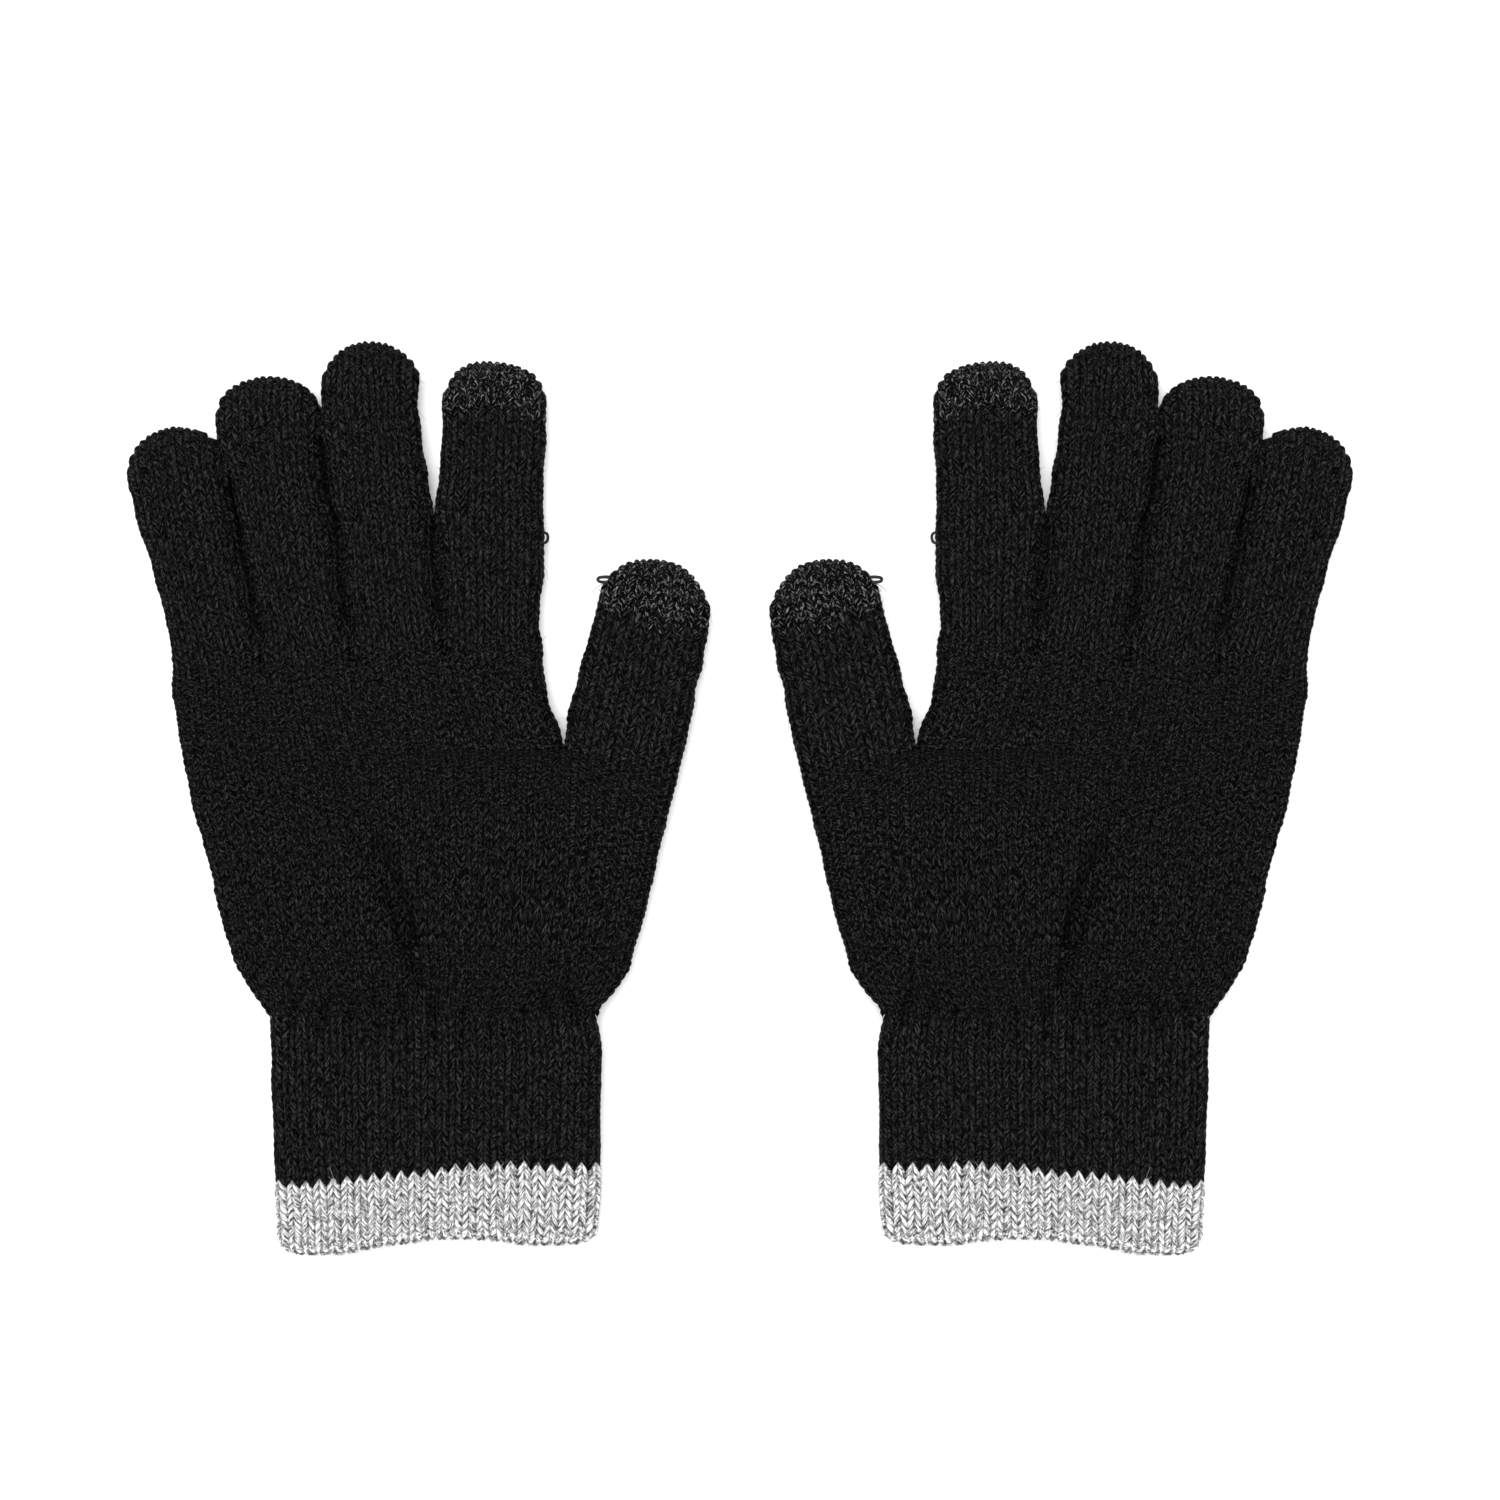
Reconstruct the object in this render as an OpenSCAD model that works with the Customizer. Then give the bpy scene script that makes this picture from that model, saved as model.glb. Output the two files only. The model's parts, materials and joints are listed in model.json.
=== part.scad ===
// A pair of knitted touchscreen gloves, lying flat with the palms up.
// Origin: middle of the pair, on the surface that the gloves lie on.
// +X runs across the pair, +Y towards the fingertips, +Z up from the palms. Millimetres.
// Every knitted section is a hollow flattened tube, open where the hand passes through it.

/* [Pair] */
// Distance between the two gloves, from cuff middle to cuff middle
pair_spacing = 143.4; // [138:0.2:240]
// Thickness of one layer of knitting
knit_wall = 2; // [1.5:0.1:2.2]
// Gap between two sections where the glove bends
fold_gap = 0.5; // [0.3:0.1:0.8]

/* [Cuff] */
// Width of the ribbed cuff, laid flat
cuff_width = 77.6; // [70:0.2:84]
// Height of the whole cuff, grey band included
cuff_height = 55.5; // [45:0.5:70]
// Height of the grey marl band at the cuff's end
band_height = 18.5; // [12:0.5:28]
// Height of the rolled welt that closes the grey band
welt_height = 2.6; // [2:0.1:4]
// Number of elastic threads laid into the cuff
elastic_count = 6; // [3:1:8]
// Thickness of one elastic thread
elastic_thread = 0.6; // [0.4:0.1:0.7]

/* [Palm] */
// Thickness of the palm, laid flat
palm_thickness = 11; // [10.4:0.2:12]
// Distance from the cuff up to the base of the index finger
palm_length = 88.5; // [84:0.5:96]
// Distance from the cuff up to the crotch of the thumb
thumb_crotch_height = 62.8; // [58:0.2:68]
// Distance from the cuff's middle to the little finger's edge of the palm
palm_little_side = 60; // [57:0.5:62]
// Distance from the cuff's middle to the thumb crotch
palm_crotch_side = 29.8; // [28:0.2:32]

/* [Fingers: index, middle, ring, little] */
// Thickness of a finger, laid flat
finger_thickness = 10; // [9:0.2:10.4]
// Length of each finger from its base
finger_length = [66.8, 73.8, 67.8, 57.3]; // [50:0.1:75]
// Width of each finger at its base
finger_base_width = [22.3, 22.1, 21.4, 20.9]; // [20:0.1:24]
// Width of each finger near its tip
finger_tip_width = [25, 23.6, 24.6, 22.4]; // [20:0.1:25]
// Lean of each finger towards the little finger, at its base
finger_base_lean = [1.5, 10, 15.5, 17]; // [0:0.5:20]
// Lean of each finger towards the little finger, at its tip
finger_tip_lean = [-2, 1, 1, 6]; // [-2:0.5:8]
// Tilt of the straight line that all four fingers bend about at the knuckles
knuckle_tilt = 4.5; // [0:0.5:6]
// Distance from the knuckle line to the line that all four fingers bend about near their middle
finger_fold = 26; // [22:0.5:30]
// Length of the touchscreen cap on the index finger
index_cap = 12.4; // [10.5:0.1:16]

/* [Thumb] */
// Length of the thumb from its base
thumb_length = 48.5; // [44:0.5:52]
// Width of the thumb at its base
thumb_base_width = 28.1; // [26:0.1:29]
// Width of the thumb near its tip
thumb_tip_width = 26.2; // [23:0.2:27]
// Lean of the thumb away from the hand
thumb_lean = 11.5; // [8:0.5:14]
// Distance from the thumb's base to its middle fold
thumb_fold = 21.8; // [18:0.2:24]
// Length of the touchscreen cap on the thumb
thumb_cap = 15.5; // [12:0.5:17]

/* [Hidden] */
INDEX = 0;
THUMB = 4;
FINGERS = ["index", "middle", "ring", "little"];
HANDS = ["right", "left"];
SECTIONS = [
    "cuff_welt", "cuff_band", "cuff_rib", "cuff_elastic", "palm_lower", "palm_upper",
    "index_base", "index_end", "index_touch_tip", "middle_base", "middle_end",
    "ring_base", "ring_end", "little_base", "little_end",
    "thumb_base", "thumb_end", "thumb_touch_tip"
];

BLACK_YARN = [0.10, 0.10, 0.10];
GREY_MARL = [0.74, 0.74, 0.74];
TOUCH_MARL = [0.22, 0.22, 0.23];
ELASTIC = [0.80, 0.78, 0.72];

arc_steps = 7;          // facets round each folded side edge of a tube
side_gap = 0.4;         // what each finger keeps clear of the line between neighbours
dome_length = 10;       // length of a rounded fingertip
dome_angles = [0, 22, 42, 58, 71, 80];
cuff_t = finger_thickness;
edge_flare = [0.58, 0.74];   // how quickly the palm widens: little finger's side, thumb's side

palm_y = cuff_height;
crotch = [palm_crotch_side, palm_y + thumb_crotch_height];
thumb_outer = crotch + thumb_base_width * [cos(thumb_lean), -sin(thumb_lean)];
little_edge = [-palm_little_side, crotch.y];

// Points between the fingers, from the index finger's outer edge to the little finger's
index_corner = [24.4, palm_y + palm_length];
function knuckle(i) = i == 0 ? index_corner
    : knuckle(i - 1) - finger_base_width[i - 1] * [cos(knuckle_tilt), sin(knuckle_tilt)];

// Each finger's numbers, with the thumb as the fifth
lengths = concat(finger_length, thumb_length);
base_widths = concat(finger_base_width, thumb_base_width);
tip_widths = concat(finger_tip_width, thumb_tip_width);
base_leans = concat(finger_base_lean, -thumb_lean);
tip_leans = concat(finger_tip_lean, -thumb_lean);
tilts = [for (i = [0:4]) i == THUMB ? -thumb_lean : knuckle_tilt];
base_thickness = [for (i = [0:4]) i == THUMB ? palm_thickness : finger_thickness];

function base_centre(i) = i == THUMB ? (crotch + thumb_outer) / 2 : (knuckle(i) + knuckle(i + 1)) / 2;
function lean(i, s) = base_leans[i] + (tip_leans[i] - base_leans[i]) * s / lengths[i];
// A finger's middle line is an arc, because its lean changes evenly along it
function centre(i, s) = let (a0 = base_leans[i], a1 = lean(i, s), turn = (a1 - a0) * PI / 180)
    base_centre(i) + (abs(turn) < 0.001
        ? s * [-sin(a0), cos(a0)]
        : s / turn * [cos(a1) - cos(a0), sin(a1) - sin(a0)]);
// Where finger i folds near its middle. The four fingers' folds lie on one line.
function fold(i) = i == THUMB ? thumb_fold : finger_fold / cos(lean(i, finger_fold / 2) - knuckle_tilt);
// Direction across finger i: along the fold lines as far as the fold, then square to the finger
function across(i, s) = let (
        turned = max(0, min(1, (s - fold(i)) / 12)),
        a = tilts[i] + (lean(i, s) - tilts[i]) * turned
    ) [cos(a), sin(a)];
function half_width(i, s) = (base_widths[i]
    + (tip_widths[i] - base_widths[i]) * min(1, s / (lengths[i] - dome_length))) / 2 - side_gap;
function half_thickness(i, s) = (base_thickness[i]
    + (finger_thickness - base_thickness[i]) * min(1, s / 20)) / 2;

function unit(v) = v / norm(v);

// One ring of a flattened tube. path runs from its left edge to its right edge in plan, and
// the side edges are folded round arcs of the tube's own half thickness. inset moves inwards.
function ring(path, half, inset) = let (
        last = len(path) - 1,
        left_in = unit(path[1] - path[0]),
        right_out = unit(path[last] - path[last - 1]),
        left_c = path[0] + half * left_in,
        right_c = path[last] - half * right_out,
        r = half - inset
    ) concat(
        [for (k = [0:arc_steps]) let (a = -90 + 180 * k / arc_steps, p = right_c + r * cos(a) * right_out)
            [p.x, p.y, half + r * sin(a)]],
        [for (k = [last - 1:-1:1]) [path[k].x, path[k].y, half + r]],
        [for (k = [0:arc_steps]) let (a = 90 + 180 * k / arc_steps, p = left_c + r * cos(a) * left_in)
            [p.x, p.y, half + r * sin(a)]],
        [for (k = [1:1:last - 1]) [path[k].x, path[k].y, half - r]]
    );

// A ring across finger i at distance s from its base
function finger_ring(i, s, inset) = let (c = centre(i, s), h = half_width(i, s) * across(i, s))
    ring([c - h, c + h], half_thickness(i, s), inset);

// The rounded end of finger i, and its last point
function dome_rings(i, inset) = [for (a = dome_angles) let (
        s = lengths[i] - dome_length + (dome_length - inset) * sin(a),
        half = (finger_thickness / 2 - inset) * sqrt(cos(a)),
        h = (half_width(i, lengths[i]) - inset) * pow(cos(a), 0.8) * across(i, s),
        c = centre(i, s)
    ) [for (p = ring([c - h, c + h], half, 0)) p + [0, 0, finger_thickness / 2 - half]]];
function dome_point(i, inset) = let (c = centre(i, lengths[i] - inset)) [c.x, c.y, finger_thickness / 2];

// A hollow tube from two lists of rings. With tips, its far end is closed by the two dome points.
module knit_tube(outer, inner, tips = []) {
    n = len(outer[0]);
    m = len(outer);
    function o(j, i) = j * n + i % n;
    function q(j, i) = m * n + j * n + i % n;
    tip = 2 * m * n;
    walls = [for (j = [0:m - 2]) for (i = [0:n - 1]) each [
        [o(j, i), o(j, i + 1), o(j + 1, i + 1)], [o(j, i), o(j + 1, i + 1), o(j + 1, i)],
        [q(j, i), q(j + 1, i + 1), q(j, i + 1)], [q(j, i), q(j + 1, i), q(j + 1, i + 1)]
    ]];
    start = [for (i = [0:n - 1]) each [
        [o(0, i + 1), o(0, i), q(0, i)], [o(0, i + 1), q(0, i), q(0, i + 1)]
    ]];
    open_end = [for (i = [0:n - 1]) each [
        [o(m - 1, i), o(m - 1, i + 1), q(m - 1, i + 1)], [o(m - 1, i), q(m - 1, i + 1), q(m - 1, i)]
    ]];
    closed_end = [for (i = [0:n - 1]) each [
        [o(m - 1, i), o(m - 1, i + 1), tip], [q(m - 1, i), tip + 1, q(m - 1, i + 1)]
    ]];
    polyhedron(
        points = concat([for (r = outer) each r], [for (r = inner) each r], tips),
        faces = concat(walls, start, len(tips) == 0 ? open_end : closed_end)
    );
}

// A stretch of finger i with both ends open
module finger_section(i, from, to, steps = 4) {
    stations = [for (k = [0:steps]) from + (to - from) * k / steps];
    knit_tube([for (s = stations) finger_ring(i, s, 0)], [for (s = stations) finger_ring(i, s, knit_wall)]);
}

// The last stretch of finger i, closed by its rounded tip
module finger_tip(i, from, steps = 2) {
    to = lengths[i] - dome_length;
    stations = [for (k = [0:steps - 1]) from + (to - from) * k / steps];
    knit_tube(
        concat([for (s = stations) finger_ring(i, s, 0)], dome_rings(i, 0)),
        concat([for (s = stations) finger_ring(i, s, knit_wall)], dome_rings(i, knit_wall)),
        [dome_point(i, 0), dome_point(i, knit_wall)]
    );
}

module finger_base(i) color(BLACK_YARN) finger_section(i, fold_gap / 2, fold(i) - fold_gap / 2);
module finger_end(i) color(BLACK_YARN) finger_tip(i, fold(i) + fold_gap / 2, 3);
module capped_finger_end(i, cap) color(BLACK_YARN)
    finger_section(i, fold(i) + fold_gap / 2, lengths[i] - cap, 3);
module touch_tip(i, cap) color(TOUCH_MARL) finger_tip(i, lengths[i] - cap, 1);

// Plan path across the palm at a share t of its way up from the cuff to the thumb's crotch.
// The point between its ends is where the thumb parts from the hand.
thumb_share = (crotch.x - little_edge.x) / (crotch.x - little_edge.x + thumb_base_width);
function palm_path(t) = let (
        left = [-cuff_width / 2 + (little_edge.x + cuff_width / 2) * pow(t, edge_flare[0]),
                palm_y + (little_edge.y - palm_y) * t],
        right = [cuff_width / 2 + (thumb_outer.x - cuff_width / 2) * pow(t, edge_flare[1]),
                 palm_y + (thumb_outer.y - palm_y) * t],
        chord = left + (right - left) * thumb_share
    ) [left, chord + (crotch - chord) * max(0, 4 * t - 3), right];
function palm_half(t) = (cuff_t + (palm_thickness - cuff_t) * min(1, t / 0.3)) / 2;
palm_shares = [0.006, 0.05, 0.14, 0.3, 0.5, 0.75, 1];

module palm_lower() color(BLACK_YARN) knit_tube(
    [for (t = palm_shares) ring(palm_path(t), palm_half(t), 0)],
    [for (t = palm_shares) ring(palm_path(t), palm_half(t), knit_wall)]
);

// Plan path across the hand at a share t of its way from the thumb's crotch to the knuckles
little_corner = knuckle(4);
function hand_path(t) = let (
        far = [little_corner, knuckle(3), knuckle(2), knuckle(1), index_corner],
        near = [for (p = far) little_edge + (crotch - little_edge) * (p.x - far[0].x) / (far[4].x - far[0].x)],
        bow = [0, 0, 0, 0, -1.2 * sin(180 * t)]
    ) [for (k = [0:4]) near[k] + (far[k] - near[k]) * t + [bow[k], 0]];
hand_shares = [0, 0.35, 0.7, 1];
knuckle_clearance = [0, -fold_gap / 2];

module palm_upper() color(BLACK_YARN) {
    halves = [for (t = hand_shares) (palm_thickness + (finger_thickness - palm_thickness) * t) / 2];
    paths = [for (t = hand_shares) [for (p = hand_path(t)) p + knuckle_clearance * t]];
    knit_tube(
        [for (k = [0:3]) ring(paths[k], halves[k], 0)],
        [for (k = [0:3]) ring(paths[k], halves[k], knit_wall)]
    );
}

// The cuff's parts all follow one flattened outline
module flat_outline(width, thickness) {
    square([width - thickness, thickness], center = true);
    for (side = [-1, 1]) translate([side * (width - thickness) / 2, 0]) circle(d = thickness, $fn = 48);
}
module cuff_ring(from, to, outer_in, wall) translate([0, to, cuff_t / 2]) rotate([90, 0, 0])
    linear_extrude(to - from) difference() {
        flat_outline(cuff_width - 2 * outer_in, cuff_t - 2 * outer_in);
        flat_outline(cuff_width - 2 * (outer_in + wall), cuff_t - 2 * (outer_in + wall));
    }

module cuff_welt() color(GREY_MARL) cuff_ring(0, welt_height, 0, knit_wall + 0.2);
module cuff_band() color(GREY_MARL) cuff_ring(welt_height, band_height, 0, knit_wall);
module cuff_rib() color(BLACK_YARN) cuff_ring(band_height, cuff_height - fold_gap / 2, 0, knit_wall);
// Threads of covered elastic that lie against the inside of the rib
module cuff_elastic() color(ELASTIC) {
    pitch = (cuff_height - band_height - 4) / elastic_count;
    for (k = [0:elastic_count - 1]) {
        y = band_height + 2 + (k + 0.5) * pitch;
        cuff_ring(y - elastic_thread / 2, y + elastic_thread / 2, knit_wall + 0.05, elastic_thread);
    }
}

// One section of the right glove, in its own frame: the cuff's lower edge in the middle
module section(name) {
    if (name == "cuff_welt") cuff_welt();
    if (name == "cuff_band") cuff_band();
    if (name == "cuff_rib") cuff_rib();
    if (name == "cuff_elastic") cuff_elastic();
    if (name == "palm_lower") palm_lower();
    if (name == "palm_upper") palm_upper();
    for (i = [0:3]) if (name == str(FINGERS[i], "_base")) finger_base(i);
    for (i = [1:3]) if (name == str(FINGERS[i], "_end")) finger_end(i);
    if (name == "index_end") capped_finger_end(INDEX, index_cap);
    if (name == "index_touch_tip") touch_tip(INDEX, index_cap);
    if (name == "thumb_base") finger_base(THUMB);
    if (name == "thumb_end") capped_finger_end(THUMB, thumb_cap);
    if (name == "thumb_touch_tip") touch_tip(THUMB, thumb_cap);
}

// The right glove lies at -X, and the left glove is its mirror image
half_length = centre(1, finger_length[1]).y / 2;
module in_place(hand) mirror([hand == "left" ? 1 : 0, 0, 0])
    translate([-pair_spacing / 2, -half_length, 0]) children();

for (hand = HANDS) for (name = SECTIONS)
    in_place(hand) section(name);
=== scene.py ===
import json
import math
import bpy
import numpy as np
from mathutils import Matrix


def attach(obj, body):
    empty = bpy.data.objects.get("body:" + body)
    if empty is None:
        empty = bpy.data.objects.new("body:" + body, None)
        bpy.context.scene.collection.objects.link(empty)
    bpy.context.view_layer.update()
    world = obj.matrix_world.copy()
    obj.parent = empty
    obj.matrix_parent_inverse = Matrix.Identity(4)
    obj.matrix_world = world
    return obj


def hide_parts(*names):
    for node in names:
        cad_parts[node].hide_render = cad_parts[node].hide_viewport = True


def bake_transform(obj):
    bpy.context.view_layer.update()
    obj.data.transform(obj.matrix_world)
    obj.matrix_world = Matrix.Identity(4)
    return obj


# The looks of a pair of knitted touchscreen gloves that lie flat with the palms up.
# Lengths are millimetres in the right glove's own frame until to_row(): X from the cuff's middle,
# Y up from the cuff's lower edge, Z up from the floor. The left glove is the mirror image.
# Every section is a knitted shell: a fine grid whose columns follow the wales and whose rows zigzag
# with the stitches, pushed out along its normals by the relief of the yarn. The lower palm and the rib
# have a coarse inner layer as well.

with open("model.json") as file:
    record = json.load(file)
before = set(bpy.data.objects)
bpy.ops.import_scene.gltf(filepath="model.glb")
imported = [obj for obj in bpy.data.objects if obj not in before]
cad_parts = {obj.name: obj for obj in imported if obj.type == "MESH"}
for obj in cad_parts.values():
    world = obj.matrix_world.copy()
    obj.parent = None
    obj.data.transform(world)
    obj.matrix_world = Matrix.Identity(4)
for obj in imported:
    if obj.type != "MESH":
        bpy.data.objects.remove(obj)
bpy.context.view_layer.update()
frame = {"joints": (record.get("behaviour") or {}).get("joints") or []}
HANDS = ("right", "left")

# ---------------------------------------------------------------- sizes, as in the CAD model
CUFF_W, CUFF_H, CUFF_T, BAND_H = 77.6, 55.5, 10.0, 18.5
PALM_T, FINGER_T = 11.0, 10.0
CROTCH, LITTLE_EDGE = np.array([29.8, 118.3]), np.array([-60.0, 118.3])  # the hand's width at the thumb
THUMB_W, THUMB_LEAN = 28.1, 11.5
KNUCKLE_TILT, KNUCKLE_0 = math.radians(4.5), np.array([24.4, 144.0])     # the line's thumb end
FOLD_Y = 26.0        # from the knuckle line to the line of the finger folds
DOME = 10.0          # length of a finger's rounded end
ROUND = 2.4          # the power of a finger's oval section
SKIN = 0.35          # the base surface lies this far inside the CAD surface, and the yarn fills it
YARN = 0.78          # how far the yarn stands out from the base surface
LINING = 2.0         # from the palm's skin to its inner layer
PRESSED = 0.3        # below this height the floor presses the knitting flat

# ---------------------------------------------------------------- the knitting's gauge
PER_WALE, PER_COURSE = 8, 4      # grid points across a stitch and along it
ROW_AT = (0, 0.17, 0.5, 0.83)    # where those rows lie within a course
CUFF_LEAN, FINGER_LEAN, PALM_LEAN = 1.2, 1.3, 0.8   # how far a stitch's legs lean, in courses
FINGER_WALES, THUMB_WALES, HAND_WALES, CUFF_WALES = 16, 16, 64, 48      # all the way round
HAND_COLUMNS = HAND_WALES * PER_WALE
THUMB_COLUMNS = THUMB_WALES * PER_WALE
FINGER_PITCH, THUMB_PITCH = 1.71, 1.76                                  # length of a course
LOWER_COURSES, UPPER_COURSES = 35, 14                                   # of the palm's two sections
BAND_COURSES, RIB_COURSES = 9, 19
TURNED_IN = 10       # courses of the band that lie inside the cuff
BAND_PITCH, RIB_PITCH = BAND_H / BAND_COURSES, (CUFF_H - BAND_H) / RIB_COURSES
EDGE_R = 1.1         # radius of the fold at the cuff's lower edge
MEET_ROWS = 10       # how many rows give way where two sections are joined

WRIST = next(j for j in frame["joints"] if j["name"] == "right_wrist_fold")["pos_m"]
SHIFT = np.array([WRIST[0] * 1000, WRIST[1] * 1000 - CUFF_H, 0.4])


def to_row(points, hand):
    """Points of the right glove's own frame, as metres in the row frame, for either hand."""
    p = np.asarray(points, float) + SHIFT
    z = p[..., 2]
    flat = 0.02 + 0.28 * np.exp((np.minimum(z, PRESSED) - PRESSED) / 0.28)
    p[..., 2] = np.where(z < PRESSED, flat, z)
    p /= 1000
    if hand == "left":
        p = p * [-1, 1, 1]
    return p


def course_at(k):
    """The course number of a grid's row k."""
    return k // PER_COURSE + ROW_AT[k % PER_COURSE]


def smooth(x, low, high):
    """0 below low, 1 above high, and an even step between them."""
    t = np.clip((x - low) / (high - low), 0, 1)
    return t * t * (3 - 2 * t)


def waves(count, short, long, seed):
    """A smooth random field of position, about -1 to 1, made of sine waves of those lengths."""
    r = np.random.default_rng(seed)
    k = 2 * np.pi / np.exp(r.uniform(np.log(short), np.log(long), count))
    turn, phase, tilt = r.uniform(0, 2 * np.pi, (2, count)).tolist() + [r.uniform(-0.6, 0.6, count)]
    kx, ky, kz = k * np.cos(turn), k * np.sin(turn), k * tilt

    def field(p):
        x, y, z = p[..., 0], p[..., 1], p[..., 2]
        return sum(np.sin(x * kx[i] + y * ky[i] + z * kz[i] + phase[i])
                   for i in range(count)) / math.sqrt(count)

    return field


# ---------------------------------------------------------------- fingers
class Finger:
    """A finger's middle line, an arc whose lean changes evenly, and the widths along it. s is a
    distance from the base, fold is where it folds, and cap is the length of its touch tip."""

    def __init__(self, name, base, widths, length, leans, tilt, fold, wales, pitch, thick, cap=None):
        self.name, self.base, self.length, self.tilt = name, np.array(base), length, tilt
        self.widths, self.leans, self.fold = widths, np.radians(leans), fold
        self.pitch, self.thick, self.cap = pitch, thick, cap
        self.columns = wales * PER_WALE

    def lean(self, s):
        return self.leans[0] + (self.leans[1] - self.leans[0]) * s / self.length

    def centre(self, s):
        bend = (self.leans[1] - self.leans[0]) / self.length
        a0, a1 = self.leans[0], self.lean(s)
        if abs(bend) < 1e-6:
            return self.base + np.stack([-np.sin(a0) * s, np.cos(a0) * s], -1)
        return self.base + np.stack([np.cos(a1) - np.cos(a0), np.sin(a1) - np.sin(a0)], -1) / bend

    def across(self, s):
        a = self.tilt + (self.lean(s) - self.tilt) * np.clip((s - self.fold) / 12, 0, 1)
        return np.stack([np.cos(a), np.sin(a)], -1)

    def half_width(self, s):
        share = np.clip(s / (self.length - DOME), 0, 1)
        return np.interp(share, [0, 0.12, 0.4, 1], self.widths) / 2 - SKIN

    def half_thick(self, s):
        return (self.thick + (FINGER_T - self.thick) * np.clip(s / 20, 0, 1)) / 2 - SKIN


def knuckle(distance):
    """A point of the knuckle line, at this distance from its thumb side."""
    return KNUCKLE_0 - distance * np.array([math.cos(KNUCKLE_TILT), math.sin(KNUCKLE_TILT)])


def fold_at(leans, length):
    """How far along a finger the line of the folds crosses it."""
    middle = math.radians(leans[0] + (leans[1] - leans[0]) * FOLD_Y / 2 / length)
    return FOLD_Y / math.cos(middle - KNUCKLE_TILT)


# Of index, middle, ring and little finger: width of the base, length, lean in degrees at both ends, and
# widths at the base, at 0.12 and 0.4 of the length, and at the dome.
BASES = [22.3, 22.1, 21.4, 20.9]
LENGTHS = [66.8, 73.8, 67.8, 57.3]
LEANS = [(1.5, -2), (10, 1), (15.5, 1), (17, 6)]
WIDTHS = [(22.3, 24.6, 25.0, 25.0), (22.1, 23.1, 23.7, 23.8),
          (21.4, 22.2, 23.4, 24.8), (20.9, 19.8, 20.6, 22.6)]
FINGERS = [
    Finger(name, knuckle(sum(BASES[:k]) + BASES[k] / 2), WIDTHS[k], LENGTHS[k], LEANS[k], KNUCKLE_TILT,
           fold_at(LEANS[k], LENGTHS[k]), FINGER_WALES, FINGER_PITCH, FINGER_T,
           cap=12.6 if name == "index" else None)
    for k, name in enumerate(("index", "middle", "ring", "little"))]
THUMB_ANGLE = math.radians(THUMB_LEAN)
THUMB_OUT = CROTCH + THUMB_W * np.array([math.cos(THUMB_ANGLE), -math.sin(THUMB_ANGLE)])
THUMB = Finger("thumb", (CROTCH + THUMB_OUT) / 2, (THUMB_W, 28.2, 27.4, 26.4), 48.5,
               (-THUMB_LEAN, -THUMB_LEAN), -THUMB_ANGLE, 21.8, THUMB_WALES, THUMB_PITCH, PALM_T,
               cap=15.7)

# How far each side lies outside those widths, and at which distances from the base:
# (distances, right side, left side).
OUTLINES = {
    "index": ([0, 3, 7, 13, 19, 25, 31, 37, 43, 49, 66],
              [0, -0.8, -1.2, -0.7, -0.2, 0, -0.2, -0.2, 0.2, 0.2, -0.2],
              [0, 0, 0, 0.1, 0.4, 0.7, 0.9, 0.1, -0.2, -0.5, -0.3]),
    "middle": ([0, 3, 9, 15, 19, 23, 27, 31, 35, 39, 45, 51, 57, 63, 73],
               [0, 0, 0, 0.1, 0.2, 0.4, 0.6, 1.0, 1.0, 0.5, 0, -0.4, -0.8, -0.3, 0],
               [0, -0.8, -0.8, -1.0, -1.2, -2.0, -2.0, -1.8, -0.2, 0.2, 0.4, 0.1, 0.2, -0.6, -0.6]),
    "ring": ([0, 4, 8, 12, 16, 20, 25, 33, 37, 45, 49, 53, 58, 63, 67],
             [0, 1.0, 1.0, 1.1, 1.3, 1.6, 2.5, 2.4, 1.1, 0.5, 0.6, 0.6, 0.8, 1.0, 0.4],
             [0, -1.7, -2.2, -2.1, -2.6, -2.6, -2.4, -2.6, -2.0, -1.4, -0.3, 0, -0.4, -0.4, -0.4]),
    "little": ([0, 3, 6, 10, 14, 18, 23, 27, 31, 35, 39, 43, 47, 51, 57],
               [0, 1.9, 2.6, 2.7, 2.5, 2.9, 2.9, 2.6, 2.7, 2.9, 2.3, 2.1, 1.3, 0.3, 0],
               [0, -0.3, -0.5, -1.1, -1.4, -1.4, -1.5, -1.5, -1.2, -0.6, -0.3, -0.4, 0.1, 0.2, -0.5]),
    "thumb": ([0, 8, 14, 20, 26, 32, 38, 48],
              [0, 0.3, 0.5, 0.3, 0.9, 1.0, 0, 0],
              [0, 0.5, 0.5, 0, 0, -0.7, -0.4, -0.6]),
}

# Fingers that touch keep a narrow, deep cleft between them, up to these distances from the base, on
# their (right, left) sides. Each side draws back by CLEFT_IN, and under that it reaches out by LIP_OUT,
# so that no floor shows.
CLEFT = {"index": (0, 33), "middle": (33, 53), "ring": (56, 53), "little": (47, 0), "thumb": (0, 0)}
CLEFT_IN, LIP_OUT = 1.35, 1.2


# ---------------------------------------------------------------- sections and their columns
def oval(half_w, half_t, power, count):
    """Offsets across and up of count points round a flattened section: from the right edge over the top
    to the left edge, and back underneath, with fewer points on the steep sides."""
    turn = np.linspace(np.pi / 2, -np.pi / 2, 401)
    x, z = half_w * np.sin(turn), half_t * np.sqrt(np.clip(1 - np.abs(np.sin(turn)) ** power, 0, None))
    along = np.r_[0, np.cumsum(np.hypot(np.diff(x), 0.6 * np.diff(z)))]
    at = np.linspace(0, along[-1], count // 2 + 1)
    x, z = np.interp(at, along, x), np.interp(at, along, z)
    z[0] = z[-1] = 0
    return np.r_[x, x[-2:0:-1]], np.r_[z, -z[-2:0:-1]]


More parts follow.
